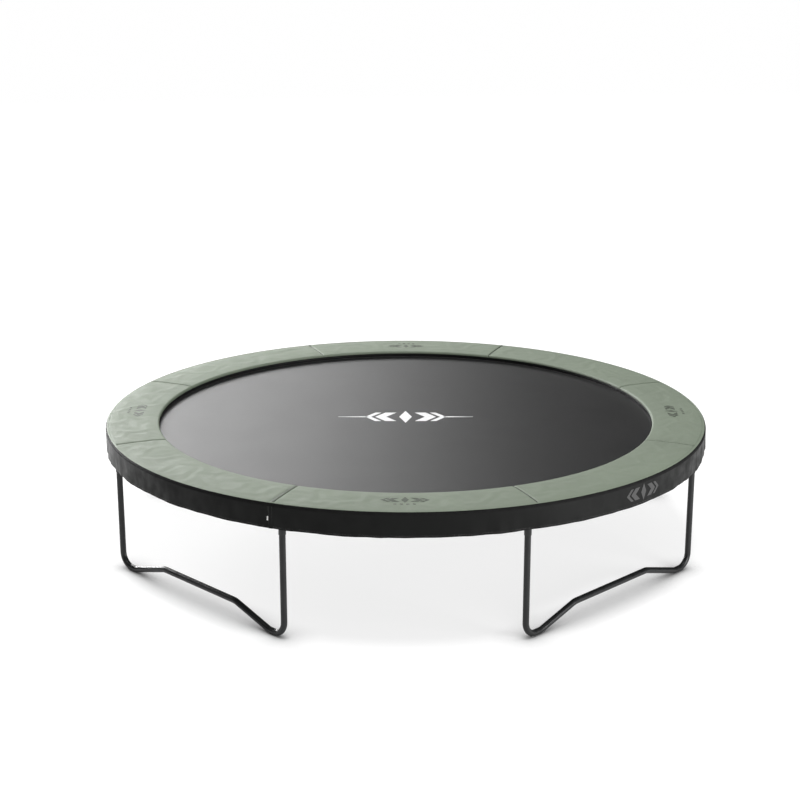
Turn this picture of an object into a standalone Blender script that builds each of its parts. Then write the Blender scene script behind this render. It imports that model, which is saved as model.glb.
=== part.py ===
"""Round backyard trampoline on four bent-tube legs.

Object frame: metres, +Z up, origin on the ground under the middle of the mat.
Each of the four legs stands square to an axis (+X, +Y, -X, -Y).
"""
import math

import bmesh
import bpy
from mathutils import Matrix, Vector

# --- driving dimensions -------------------------------------------------
TOUCH_GAP = 0.0003            # clearance between faces that touch

RAIL_RADIUS = 2.125           # ring radius of the rail's centre line
RAIL_HEIGHT = 0.860           # height of the rail's centre line
RAIL_TUBE_R = 0.025
RAIL_WALL = 0.002
RAIL_SEGMENTS = 6
RAIL_END_GAP = 0.006          # between two square-cut rail ends inside a sleeve

LEG_COUNT = 4
POST_HALF_ANGLE = math.radians(24.0)   # from a leg's middle to its posts
LEG_TUBE_R = 0.021
LEG_SIDES = 10
LEG_WALL = 0.002
LEG_BEND_R = 0.095            # centre line radius of the foot bend
LEG_BEND_STEPS = 7
LEG_RISE_ANGLE = math.radians(16.0)    # slope between a foot and the raised middle
LEG_MIDDLE_HEIGHT = 0.116     # centre line height of the raised middle
LEG_FOOT_FLAT = 0.040         # straight length on the ground at each foot
LEG_TOP_HEIGHT = 0.826

SLEEVE_GAP = 0.0005           # between a rail and the sleeve around it
SLEEVE_WALL = 0.0025
SLEEVE_HALF_LENGTH = 0.098
SOCKET_GAP = 0.0005
SOCKET_WALL = 0.0025
SOCKET_BOTTOM = 0.705
BOLT_HEIGHT = 0.735
BOLT_HOLE_R = 0.0042
BOLT_SHANK_R = 0.0036
BOLT_HEAD_R = 0.0075
BOLT_HEAD_H = 0.0055
BOLT_REACH = 0.012            # shank length past the socket's outer face

RING_SIDES = 96               # facets of every full ring, one for each spring
PANEL_COUNT = 8
PANEL_ANGLE = 2 * math.pi / PANEL_COUNT

MAT_RADIUS = 1.818
MAT_TOP = 0.870
MAT_THICKNESS = 0.002
MAT_CENTRE_R = 0.60           # inner ring of the jump surface

SPRING_COUNT = 96
SPRING_PITCH = 2 * math.pi / SPRING_COUNT
SPRING_BODY_R = 0.0105
SPRING_TIP_R = 0.0012
SPRING_SIDES = 6
HOOK_HOLE_HALF = 0.0036       # half the side of a rail's square hook hole
SLEEVE_HOLE_HALF = 0.0040
BAND_OUTER_R = 1.846          # outer edge of the V-ring band around the mat
BAND_TOP = 0.8705
BAND_BOTTOM = 0.8665
SPRING_BODY_START_R = 1.885
SPRING_BODY_END_R = 2.050
SPRING_TIP_REACH_R = 2.105

PAD_INNER_R = 1.792
PAD_OUTER_R = 2.154
PAD_INNER_TOP = 0.911
PAD_OUTER_TOP = 0.918
PAD_BOTTOM = 0.8895
PAD_INNER_BOTTOM = 0.8835
PAD_EDGE_BEVEL = 0.009

SKIRT_OUTER_R = 2.172
SKIRT_PIECES = 4
SKIRT_WALL = 0.0025
SKIRT_BOTTOM = 0.753
SKIRT_SHOULDER = 0.906        # where the skirt starts to curve over the pad
SKIRT_TOP = 0.9215
SKIRT_LIP_GAP = 0.0006        # between the lip's inner edge and the pad

STRAP_WIDTH = 0.025
STRAP_THICKNESS = 0.002
STRAP_GAP = 0.0016            # the rail bends a little inside the loop

SAGE_GREEN = (0.338, 0.392, 0.287)
PAD_BLACK = (0.013, 0.014, 0.013)
MAT_BLACK = (0.022, 0.022, 0.022)
POWDER_BLACK = (0.022, 0.023, 0.024)
GALVANISED = (0.560, 0.570, 0.580)


# --- scene and material helpers ------------------------------------------
def clear_scene():
    for obj in list(bpy.data.objects):
        bpy.data.objects.remove(obj, do_unlink=True)


def make_material(name, colour, roughness, metallic):
    material = bpy.data.materials.new(name)
    material.use_nodes = True
    shader = material.node_tree.nodes["Principled BSDF"]
    shader.inputs["Base Color"].default_value = (*colour, 1.0)
    shader.inputs["Roughness"].default_value = roughness
    shader.inputs["Metallic"].default_value = metallic
    material.diffuse_color = (*colour, 1.0)
    return material


def add_object(name, bm, material, smooth_angle=40.0):
    bmesh.ops.recalc_face_normals(bm, faces=bm.faces)
    mesh = bpy.data.meshes.new(name)
    bm.to_mesh(mesh)
    bm.free()
    mesh.shade_smooth()
    mesh.set_sharp_from_angle(angle=math.radians(smooth_angle))
    if material is not None:
        mesh.materials.append(material)
    obj = bpy.data.objects.new(name, mesh)
    bpy.context.scene.collection.objects.link(obj)
    return obj


def add_cutter(name, bm):
    cutter = add_object(name, bm, None)
    cutter.hide_render = True
    cutter.display_type = "WIRE"
    return cutter


def add_boolean(obj, other, operation):
    modifier = obj.modifiers.new(f"{operation}_{other.name}".lower(), "BOOLEAN")
    modifier.operation = operation
    modifier.solver = "EXACT"
    modifier.object = other


def polar(radius, angle, height):
    return Vector((radius * math.cos(angle), radius * math.sin(angle), height))


# --- mesh builders --------------------------------------------------------
def skin_rings(bm, rings, closed=False):
    """Join successive rings of points with quads, and cap an open run's ends."""
    verts = [[bm.verts.new(point) for point in ring] for ring in rings]
    count = len(verts[0])
    last = len(verts) if closed else len(verts) - 1
    for i in range(last):
        ring, following = verts[i], verts[(i + 1) % len(verts)]
        for j in range(count):
            k = (j + 1) % count
            bm.faces.new((ring[j], ring[k], following[k], following[j]))
    if not closed:
        bm.faces.new(verts[0])
        bm.faces.new(list(reversed(verts[-1])))


def sweep_rings(path, plane_normal, radius, sides):
    """Mitred circles along a path that lies in one plane.

    A facet's middle faces along the path's in-plane normal, so a level run
    has a flat facet straight underneath.
    """
    rings = []
    for i, point in enumerate(path):
        before = (point - path[i - 1]).normalized() if i else None
        after = (path[i + 1] - point).normalized() if i + 1 < len(path) else None
        before, after = before or after, after or before
        tangent = (before + after).normalized()
        across = plane_normal.cross(tangent)
        stretch = 1.0 / max(0.2, tangent.dot(before))
        ring = []
        for j in range(sides):
            angle = 2 * math.pi * (j + 0.5) / sides
            offset = across * (radius * stretch * math.cos(angle))
            ring.append(point + offset + plane_normal * (radius * math.sin(angle)))
        rings.append(ring)
    return rings


def tube_mesh(path, plane_normal, radius, sides):
    bm = bmesh.new()
    skin_rings(bm, sweep_rings(path, plane_normal, radius, sides))
    return bm


def extended(path, amount):
    """The same path, longer at both ends."""
    first = path[0] + (path[0] - path[1]).normalized() * amount
    last = path[-1] + (path[-1] - path[-2]).normalized() * amount
    return [first] + path[1:-1] + [last]


def add_box(bm, centre, size, turn):
    matrix = Matrix.Translation(centre) @ Matrix.Rotation(turn, 4, "Z") @ Matrix.Diagonal((*size, 1.0))
    bmesh.ops.create_cube(bm, size=1.0, matrix=matrix)


def add_rod(bm, start, end, radius, sides):
    """A closed prism from start to end."""
    axis = end - start
    turn = axis.to_track_quat("Z", "Y").to_matrix().to_4x4()
    matrix = Matrix.Translation((start + end) / 2) @ turn
    bmesh.ops.create_cone(bm, cap_ends=True, segments=sides, radius1=radius, radius2=radius,
                          depth=axis.length, matrix=matrix)


def arc_band(profile, start_angle, end_angle, segments):
    """Sweep an (r, z) profile about the Z axis, with flat ends."""
    bm = bmesh.new()
    rings = []
    for i in range(segments + 1):
        angle = start_angle + (end_angle - start_angle) * i / segments
        rings.append([polar(r, angle, z) for r, z in profile])
    skin_rings(bm, rings)
    return bm


def panel_edges(index, radius):
    """Start and end angle of one of the eight 45 degree sectors."""
    middle = index * PANEL_ANGLE
    inset = TOUCH_GAP / radius
    return middle - PANEL_ANGLE / 2 + inset, middle + PANEL_ANGLE / 2 - inset


def post_angles():
    """Angle of each post about Z, counted anticlockwise from +X's leg."""
    angles = []
    for leg in range(LEG_COUNT):
        middle = leg * 2 * math.pi / LEG_COUNT
        angles += [middle - POST_HALF_ANGLE, middle + POST_HALF_ANGLE]
    return angles


# --- top frame --------------------------------------------------------------
def rail_path(start_angle, end_angle):
    steps = range(RAIL_SEGMENTS + 1)
    span = end_angle - start_angle
    return [polar(RAIL_RADIUS, start_angle + span * i / RAIL_SEGMENTS, RAIL_HEIGHT) for i in steps]


def spring_angles(start_angle, end_angle):
    """Every spring position between two angles."""
    first = math.ceil((start_angle / SPRING_PITCH) - 0.5)
    angles = []
    angle = (first + 0.5) * SPRING_PITCH
    while angle < end_angle:
        angles.append(angle)
        angle += SPRING_PITCH
    return angles


def hook_hole_cutter(name, angles, half):
    """Square punches through the rail wall that faces the mat."""
    bm = bmesh.new()
    depth = 2 * RAIL_TUBE_R
    for angle in angles:
        centre = polar(RAIL_RADIUS - RAIL_TUBE_R, angle, RAIL_HEIGHT)
        add_box(bm, centre, (depth * 0.6, 2 * half, 2 * half), angle)
    return add_cutter(name, bm)


def build_top_rail(index, start_angle, end_angle, material):
    inset = RAIL_END_GAP / 2 / RAIL_RADIUS
    path = rail_path(start_angle + inset, end_angle - inset)
    up = Vector((0, 0, 1))
    name = f"top_rail_{index}"
    rail = add_object(name, tube_mesh(path, up, RAIL_TUBE_R, 12), material)
    inside = tube_mesh(extended(path, 0.01), up, RAIL_TUBE_R - RAIL_WALL, 8)
    add_boolean(rail, add_cutter(f"cut_{name}_inside", inside), "DIFFERENCE")
    angles = spring_angles(start_angle, end_angle)
    add_boolean(rail, hook_hole_cutter(f"cut_{name}_holes", angles, HOOK_HOLE_HALF), "DIFFERENCE")


def sleeve_path(index, half_length):
    """Two straight runs that follow the ends of the rails meeting at a post."""
    angles = post_angles()
    here = angles[index]
    corner = polar(RAIL_RADIUS, here, RAIL_HEIGHT)
    between = 2 * math.pi / LEG_COUNT - 2 * POST_HALF_ANGLE
    spans = (between, 2 * POST_HALF_ANGLE) if index % 2 == 0 else (2 * POST_HALF_ANGLE, between)
    before = polar(RAIL_RADIUS, here - spans[0] / RAIL_SEGMENTS, RAIL_HEIGHT)
    after = polar(RAIL_RADIUS, here + spans[1] / RAIL_SEGMENTS, RAIL_HEIGHT)
    start = corner + (before - corner).normalized() * half_length
    end = corner + (after - corner).normalized() * half_length
    return [start, corner, end]


def build_t_joint(index, material):
    """Sleeve around two rail ends, with a socket below for a leg's post."""
    up = Vector((0, 0, 1))
    here = post_angles()[index]
    name = f"t_joint_{index + 1}"
    bore_r = RAIL_TUBE_R + SLEEVE_GAP
    outer_r = bore_r + SLEEVE_WALL
    path = sleeve_path(index, SLEEVE_HALF_LENGTH)
    joint = add_object(name, tube_mesh(path, up, outer_r, 12), material)

    leg_plane = polar(1.0, (index // 2) * 2 * math.pi / LEG_COUNT, 0.0)
    socket_r = LEG_TUBE_R + SOCKET_GAP + SOCKET_WALL
    foot = polar(RAIL_RADIUS, here, SOCKET_BOTTOM)
    crown = polar(RAIL_RADIUS, here, RAIL_HEIGHT)
    socket = tube_mesh([foot, crown], leg_plane, socket_r, LEG_SIDES)
    add_boolean(joint, add_cutter(f"add_{name}_socket", socket), "UNION")

    bore = tube_mesh(sleeve_path(index, SLEEVE_HALF_LENGTH + 0.01), up, bore_r, 12)
    add_boolean(joint, add_cutter(f"cut_{name}_bore", bore), "DIFFERENCE")
    top = polar(RAIL_RADIUS, here, LEG_TOP_HEIGHT + 0.003)
    post = tube_mesh([foot - up * 0.01, top], leg_plane, LEG_TUBE_R + SOCKET_GAP, LEG_SIDES)
    add_boolean(joint, add_cutter(f"cut_{name}_post", post), "DIFFERENCE")

    reach = SLEEVE_HALF_LENGTH / RAIL_RADIUS
    angles = spring_angles(here - reach, here + reach)
    holes = hook_hole_cutter(f"cut_{name}_hook", angles, SLEEVE_HOLE_HALF)
    add_boolean(joint, holes, "DIFFERENCE")
    add_boolean(joint, bolt_hole_cutter(name, here), "DIFFERENCE")


def bolt_hole_cutter(name, angle):
    """Hole through the side of the socket and post that faces the middle."""
    bm = bmesh.new()
    outside = polar(RAIL_RADIUS - 0.05, angle, BOLT_HEIGHT)
    middle = polar(RAIL_RADIUS - 0.005, angle, BOLT_HEIGHT)
    add_rod(bm, outside, middle, BOLT_HOLE_R, 6)
    return add_cutter(f"cut_{name}_bolt", bm)


# --- legs ---------------------------------------------------------------------
def arc_points(centre, radius, start, end, steps):
    """Points of an arc in a leg's (along, height) plane, both ends included."""
    points = []
    for i in range(steps + 1):
        angle = start + (end - start) * i / steps
        points.append((centre[0] + radius * math.cos(angle), centre[1] + radius * math.sin(angle)))
    return points


def half_leg_profile(half_chord):
    """(along, height) from a post's top to where the raised middle begins.

    The post runs down at -half_chord, bends to level, stands on a short flat
    run, bends up to the rise and ends at the raised middle.
    """
    low = LEG_TUBE_R * math.cos(math.pi / LEG_SIDES)
    centre = (-half_chord + LEG_BEND_R, low + LEG_BEND_R)
    points = [(-half_chord, LEG_TOP_HEIGHT)]
    points += arc_points(centre, LEG_BEND_R, math.pi, 1.5 * math.pi, LEG_BEND_STEPS)
    lift = (centre[0] + LEG_FOOT_FLAT, centre[1])
    points += arc_points(lift, LEG_BEND_R, 1.5 * math.pi, 1.5 * math.pi + LEG_RISE_ANGLE, 1)
    climb = LEG_MIDDLE_HEIGHT - points[-1][1]
    points.append((points[-1][0] + climb / math.tan(LEG_RISE_ANGLE), LEG_MIDDLE_HEIGHT))
    return points


def leg_path(leg_angle):
    half_chord = RAIL_RADIUS * math.sin(POST_HALF_ANGLE)
    distance = RAIL_RADIUS * math.cos(POST_HALF_ANGLE)
    half = half_leg_profile(half_chord)
    profile = half + [(-along, height) for along, height in reversed(half)]
    out = polar(1.0, leg_angle, 0.0)
    side = polar(1.0, leg_angle + math.pi / 2, 0.0)
    return [out * distance + side * along + Vector((0, 0, height)) for along, height in profile]


def build_leg(index, material):
    leg_angle = index * 2 * math.pi / LEG_COUNT
    plane_normal = polar(1.0, leg_angle, 0.0)
    path = leg_path(leg_angle)
    name = f"leg_{index + 1}"
    leg = add_object(name, tube_mesh(path, plane_normal, LEG_TUBE_R, LEG_SIDES), material)
    inside = tube_mesh(extended(path, 0.01), plane_normal, LEG_TUBE_R - LEG_WALL, 8)
    add_boolean(leg, add_cutter(f"cut_{name}_inside", inside), "DIFFERENCE")
    for side in (-1, 1):
        post = leg_angle + side * POST_HALF_ANGLE
        label = f"{name}_{'a' if side < 0 else 'b'}"
        add_boolean(leg, bolt_hole_cutter(label, post), "DIFFERENCE")


def build_leg_bolt(index, material):
    """Hex-head self-tapping bolt that keeps a post in its socket."""
    angle = post_angles()[index]
    face = RAIL_RADIUS - (LEG_TUBE_R + SOCKET_GAP + SOCKET_WALL) - TOUCH_GAP
    bm = bmesh.new()
    rings = []
    stations = ((face - BOLT_HEAD_H, BOLT_HEAD_R), (face, BOLT_HEAD_R),
                (face, BOLT_SHANK_R), (face + BOLT_REACH, BOLT_SHANK_R * 0.6))
    across = polar(1.0, angle + math.pi / 2, 0.0)
    for distance, radius in stations:
        centre = polar(distance, angle, BOLT_HEIGHT)
        ring = []
        for j in range(6):
            turn = math.pi / 3 * j
            ring.append(centre + across * (radius * math.cos(turn)) + Vector((0, 0, radius * math.sin(turn))))
        rings.append(ring)
    skin_rings(bm, rings)
    add_object(f"leg_bolt_{index + 1}", bm, material)


# --- mat and springs -----------------------------------------------------------
def build_jump_mat(material):
    """Flat disc with an inner ring, so that its middle has faces of its own."""
    bm = bmesh.new()
    rings = []
    for radius, height in ((MAT_RADIUS, MAT_TOP), (MAT_RADIUS, MAT_TOP - MAT_THICKNESS)):
        rings.append([polar(radius, 2 * math.pi * i / RING_SIDES, height) for i in range(RING_SIDES)])
    inner = [polar(MAT_CENTRE_R, 2 * math.pi * i / 8, MAT_TOP) for i in range(8)]
    edge_top, edge_bottom = ([bm.verts.new(p) for p in ring] for ring in rings)
    centre = [bm.verts.new(p) for p in inner]
    for i in range(RING_SIDES):
        j = (i + 1) % RING_SIDES
        bm.faces.new((edge_top[i], edge_bottom[i], edge_bottom[j], edge_top[j]))
    for k in range(8):
        span = RING_SIDES // 8
        outer = [edge_top[(k * span + i) % RING_SIDES] for i in range(span + 1)]
        bm.faces.new(outer + [centre[(k + 1) % 8], centre[k]])
    bm.faces.new(centre)
    bm.faces.new(edge_bottom)
    add_object("jump_mat", bm, material)


def spring_mesh(angle):
    """One closed coil spring as its outer shape: a body with tapered hooks."""
    height = (BAND_TOP + BAND_BOTTOM) / 2
    start, end = BAND_OUTER_R - 0.006, SPRING_TIP_REACH_R
    stations = ((start, SPRING_TIP_R), (SPRING_BODY_START_R, SPRING_BODY_R),
                (SPRING_BODY_END_R, SPRING_BODY_R), (end, SPRING_TIP_R))
    across = polar(1.0, angle + math.pi / 2, 0.0)
    rings = []
    for distance, radius in stations:
        level = height + (RAIL_HEIGHT - height) * (distance - start) / (end - start)
        centre = polar(distance, angle, level)
        ring = []
        for j in range(SPRING_SIDES):
            turn = 2 * math.pi * j / SPRING_SIDES
            offset = across * (radius * math.cos(turn)) + Vector((0, 0, radius * math.sin(turn)))
            ring.append(centre + offset)
        rings.append(ring)
    return rings


def build_spring_bank(index, material):
    """Twelve springs, held side by side by the band of V-rings."""
    start, end = panel_edges(index, MAT_RADIUS)
    inner = MAT_RADIUS + TOUCH_GAP
    profile = ((inner, BAND_BOTTOM), (BAND_OUTER_R, BAND_BOTTOM), (BAND_OUTER_R, BAND_TOP), (inner, BAND_TOP))
    segments = RING_SIDES // PANEL_COUNT
    name = f"spring_bank_{index + 1}"
    bank = add_object(name, arc_band(profile, start, end, segments), material)
    bm = bmesh.new()
    for angle in spring_angles(start, end):
        skin_rings(bm, spring_mesh(angle))
    add_boolean(bank, add_cutter(f"add_{name}_springs", bm), "UNION")


# --- safety pad and skirt ---------------------------------------------------------
def build_pad_panel(index, material):
    bevel = PAD_EDGE_BEVEL
    profile = ((PAD_INNER_R, PAD_INNER_BOTTOM + bevel), (PAD_INNER_R + bevel, PAD_INNER_BOTTOM),
               (PAD_OUTER_R, PAD_BOTTOM), (PAD_OUTER_R, PAD_OUTER_TOP - bevel / 2),
               (PAD_OUTER_R - bevel, PAD_OUTER_TOP), (PAD_INNER_R + bevel, PAD_INNER_TOP),
               (PAD_INNER_R, PAD_INNER_TOP - bevel))
    start, end = panel_edges(index, PAD_INNER_R)
    bm = arc_band(profile, start, end, RING_SIDES // PANEL_COUNT)
    add_object(f"pad_panel_{index + 1}", bm, material)


def build_skirt_piece(index, material):
    """A quarter of the thin hanging wall, whose top rounds over onto the pad's outer edge."""
    lip_r = PAD_OUTER_R + SKIRT_LIP_GAP
    outer = ((SKIRT_OUTER_R, SKIRT_BOTTOM), (SKIRT_OUTER_R, SKIRT_SHOULDER),
             (SKIRT_OUTER_R - 0.0045, SKIRT_TOP - 0.0030), (lip_r + 0.002, SKIRT_TOP),
             (lip_r, SKIRT_TOP - SKIRT_WALL))
    inner = ((lip_r + 0.003, SKIRT_TOP - SKIRT_WALL), (SKIRT_OUTER_R - SKIRT_WALL, SKIRT_SHOULDER - 0.001),
             (SKIRT_OUTER_R - SKIRT_WALL, SKIRT_BOTTOM))
    span = 2 * math.pi / SKIRT_PIECES
    start = PANEL_ANGLE / 2 + index * span + TOUCH_GAP / lip_r
    end = PANEL_ANGLE / 2 + (index + 1) * span - TOUCH_GAP / lip_r
    bm = arc_band(outer + inner, start, end, RING_SIDES // SKIRT_PIECES)
    add_object(f"skirt_piece_{index + 1}", bm, material)


def build_pad_strap(index, material):
    """Webbing loop that ties the pad's underside to the rail."""
    angle = index * PANEL_ANGLE
    inner_r = RAIL_TUBE_R + STRAP_GAP
    outer_r = inner_r + STRAP_THICKNESS
    centre_r = rail_centre_radius(angle)
    sides = 10
    across = polar(1.0, angle + math.pi / 2, 0.0)
    out = polar(1.0, angle, 0.0)
    corners = ((inner_r, -1), (outer_r, -1), (outer_r, 1), (inner_r, 1))
    rings = []
    for j in range(sides):
        turn = 2 * math.pi * j / sides
        direction = out * math.cos(turn) + Vector((0, 0, math.sin(turn)))
        base = polar(centre_r, angle, RAIL_HEIGHT)
        ring = [base + direction * (r / math.cos(math.pi / sides)) + across * (side * STRAP_WIDTH / 2)
                for r, side in corners]
        rings.append(ring)
    bm = bmesh.new()
    skin_rings(bm, rings, closed=True)
    add_object(f"pad_strap_{index + 1}", bm, material)


def rail_centre_radius(angle):
    """Distance from the axis to the rail's centre line, which is a polygon."""
    angles = post_angles() + [post_angles()[0] + 2 * math.pi]
    for start, end in zip(angles, angles[1:]):
        for turn in (0.0, 2 * math.pi):
            if start <= angle + turn <= end:
                step = (end - start) / RAIL_SEGMENTS
                from_kink = (angle + turn - start) % step
                return RAIL_RADIUS * math.cos(step / 2) / math.cos(from_kink - step / 2)
    return RAIL_RADIUS


# --- assembly -----------------------------------------------------------------------
def main():
    clear_scene()
    powder = make_material("black_powder_coat", POWDER_BLACK, 0.45, 0.0)
    zinc = make_material("galvanised_steel", GALVANISED, 0.38, 0.9)
    mat_fabric = make_material("mat_fabric", MAT_BLACK, 0.6, 0.0)
    pad_vinyl = make_material("pad_vinyl_green", SAGE_GREEN, 0.55, 0.0)
    skirt_vinyl = make_material("skirt_vinyl_black", PAD_BLACK, 0.5, 0.0)
    webbing = make_material("black_webbing", PAD_BLACK, 0.8, 0.0)

    angles = post_angles()
    for i, start in enumerate(angles):
        end = angles[i + 1] if i + 1 < len(angles) else angles[0] + 2 * math.pi
        build_top_rail(i + 1, start, end, powder)
        build_t_joint(i, powder)
        build_leg_bolt(i, zinc)
    for index in range(LEG_COUNT):
        build_leg(index, powder)
    build_jump_mat(mat_fabric)
    for index in range(PANEL_COUNT):
        build_spring_bank(index, zinc)
        build_pad_panel(index, pad_vinyl)
        build_pad_strap(index, webbing)
    for index in range(SKIRT_PIECES):
        build_skirt_piece(index, skirt_vinyl)


main()
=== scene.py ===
"""Looks of the backyard trampoline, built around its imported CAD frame."""
import math

import bpy
import numpy as np
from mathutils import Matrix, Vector, geometry, noise
from mathutils.bvhtree import BVHTree


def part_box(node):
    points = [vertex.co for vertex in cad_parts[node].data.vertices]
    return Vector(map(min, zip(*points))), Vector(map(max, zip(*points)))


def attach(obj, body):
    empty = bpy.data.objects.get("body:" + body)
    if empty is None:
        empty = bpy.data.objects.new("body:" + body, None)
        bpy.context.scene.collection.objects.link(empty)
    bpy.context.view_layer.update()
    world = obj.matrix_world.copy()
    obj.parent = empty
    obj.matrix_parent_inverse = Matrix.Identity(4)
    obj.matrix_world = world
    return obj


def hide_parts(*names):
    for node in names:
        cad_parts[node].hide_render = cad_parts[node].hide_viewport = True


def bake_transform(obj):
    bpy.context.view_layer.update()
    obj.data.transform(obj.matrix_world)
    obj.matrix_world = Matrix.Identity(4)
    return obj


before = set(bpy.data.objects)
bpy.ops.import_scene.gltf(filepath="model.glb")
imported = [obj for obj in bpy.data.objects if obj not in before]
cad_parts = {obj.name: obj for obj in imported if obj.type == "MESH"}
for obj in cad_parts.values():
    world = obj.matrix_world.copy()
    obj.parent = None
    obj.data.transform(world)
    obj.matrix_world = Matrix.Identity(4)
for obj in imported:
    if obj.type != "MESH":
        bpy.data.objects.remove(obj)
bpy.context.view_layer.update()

TAU = 2 * math.pi
BANKS = 8
PANEL_DEGREES = 360 / BANKS

# --- sizes read from the frame ----------------------------------------
MAT_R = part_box("jump_mat")[1].x
MAT_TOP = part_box("jump_mat")[1].z
SKIRT_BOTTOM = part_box("skirt_piece_1")[0].z
SKIRT_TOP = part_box("skirt_piece_1")[1].z - 0.0015
SKIRT_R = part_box("skirt_piece_1")[1].y          # this quarter spans +Y
PAD_OUTER_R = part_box("pad_panel_1")[1].x
PAD_INNER_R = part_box("pad_panel_1")[0].x / math.cos(math.radians(PANEL_DEGREES / 2))
RAIL_Z = (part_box("top_rail_1")[0].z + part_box("top_rail_1")[1].z) / 2
LEG_LOW, LEG_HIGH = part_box("leg_1")
LEG_R = (LEG_HIGH.x - LEG_LOW.x) / 2
LEG_PLANE = (LEG_HIGH.x + LEG_LOW.x) / 2
HALF_CHORD = (LEG_HIGH.y - LEG_LOW.y) / 2 - LEG_R * math.cos(math.pi / 10)
LEG_TOP = LEG_HIGH.z
SOCKET_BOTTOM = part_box("t_joint_1")[0].z
RAIL_R = math.hypot(LEG_PLANE, HALF_CHORD)
POST_DEGREES = math.degrees(math.atan2(HALF_CHORD, LEG_PLANE))

# --- sizes that the frame's boxes don't give --------------------------
RAIL_TUBE_R = 0.025
RAIL_WALL = 0.002
SLEEVE_R = 0.028
SLEEVE_BORE_R = 0.0255
SLEEVE_HALF = 0.098
SOCKET_R = 0.024
SOCKET_BORE_R = 0.0215
LEG_BEND_R = 0.095
LEG_FOOT_FLAT = 0.040
LEG_RISE = math.radians(16)
LEG_MIDDLE_Z = 0.116
LEG_SOFT_KINK_R = 0.14
SPRING_COUNT = 96
SPRING_DEGREES = 360 / SPRING_COUNT
SPRING_R = 0.0105
SPRING_WIRE_R = 0.0015
SPRING_MAT_Z = 0.8685
SPRING_BODY = (1.886, 2.070)                    # where the close coils begin and end
HOOK_CENTRE_R = 1.8645                          # the hook round the V-ring
HOOK_R = 0.0062
HOOK_HOLE_R = 0.0042
BAND_OUTER_R = 1.846
PAD_INNER_TOP = 0.9165
PAD_OUTER_TOP = 0.9188
PAD_INNER_BOTTOM = 0.8870
PAD_OUTER_BOTTOM = 0.8895
CLOSING_SEAM = 292.5                            # direction of the pad's closing seam
SKIRT_WALL = 0.0025
STRAP_WIDTH = 0.025
STRAP_THICKNESS = 0.0018

# --- camera, in the photograph's framing ------------------------------
VIEW_AZIMUTH = math.radians(45.29)
VIEW_PITCH = math.radians(16.01)
VIEW_DISTANCE = 11.815
VIEW_LENS = 72.5
VIEW_TARGET_Z = 1.0046
VIEW_SIDE_SHIFT = -0.041
VIEW_RIGHT = Vector((math.cos(VIEW_AZIMUTH), math.sin(VIEW_AZIMUTH), 0))
VIEW_FORWARD = Vector((-math.sin(VIEW_AZIMUTH), math.cos(VIEW_AZIMUTH), 0))


def seen_from_camera(right, forward, up):
    """A point given along the camera's right, its level forward and up."""
    return VIEW_RIGHT * right + VIEW_FORWARD * forward + Vector((0, 0, up))


def polar(radius, degrees, height):
    angle = math.radians(degrees)
    return Vector((radius * math.cos(angle), radius * math.sin(angle), height))


def circle(radius, count, height):
    """Points once round the middle, without the first one again at the end."""
    return [polar(radius, 360 * i / count, height) for i in range(count)]


def turned(points, degrees):
    """Points turned about Z."""
    c, s = math.cos(math.radians(degrees)), math.sin(math.radians(degrees))
    points = np.asarray(points, float)
    x, y = points[..., 0], points[..., 1]
    return np.stack([c * x - s * y, s * x + c * y, points[..., 2]], -1)


def smoothstep(x):
    x = min(1.0, max(0.0, x))
    return x * x * (3 - 2 * x)


# --- mesh helpers -----------------------------------------------------
class Shape:
    """Collects the points and faces of one piece."""

    def __init__(self):
        self.points = []
        self.faces = []
        self.slots = []

    def add(self, points, faces, slot=0):
        first = len(self.points)
        self.points += [tuple(p) for p in points]
        self.faces += [tuple(first + i for i in face) for face in faces]
        self.slots += [slot] * len(faces)

    def add_rings(self, rings, slot=0, closed=False):
        """Skins rings of points, one after another."""
        count, sides = len(rings), len(rings[0])
        points = [p for ring in rings for p in ring]
        faces = []
        for i in range(count if closed else count - 1):
            j = (i + 1) % count
            for k in range(sides):
                m = (k + 1) % sides
                faces.append((i * sides + k, j * sides + k, j * sides + m, i * sides + m))
        if not closed:
            faces.append(tuple(range(sides)))
            faces.append(tuple((count - 1) * sides + k for k in reversed(range(sides))))
        self.add(points, faces, slot)

    def add_tube(self, path, radius, sides, slot=0, up=(0, 0, 1)):
        self.add_rings(tube_rings(path, radius, sides, up=up), slot)

    def add_pipe(self, path, outer, inner, sides):
        """An open pipe with a real wall."""
        outside = tube_rings(path, outer, sides)
        inside = tube_rings(path, inner, sides)
        self.add_rings(outside + inside[::-1], closed=True)

    def finish(self, name, materials, sharp=40):
        """Makes the object; edges that bend by more than so many degrees stay sharp."""
        mesh = bpy.data.meshes.new(name)
        mesh.from_pydata(self.points, [], self.faces)
        mesh.update()
        for material in materials:
            mesh.materials.append(material)
        if len(materials) > 1:
            mesh.polygons.foreach_set("material_index", self.slots)
        mesh.shade_smooth()
        mesh.set_sharp_from_angle(angle=math.radians(sharp))
        piece = bpy.data.objects.new(name, mesh)
        bpy.context.scene.collection.objects.link(piece)
        return piece


def unit_rows(vectors):
    return vectors / np.linalg.norm(vectors, axis=1)[:, None]


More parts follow.
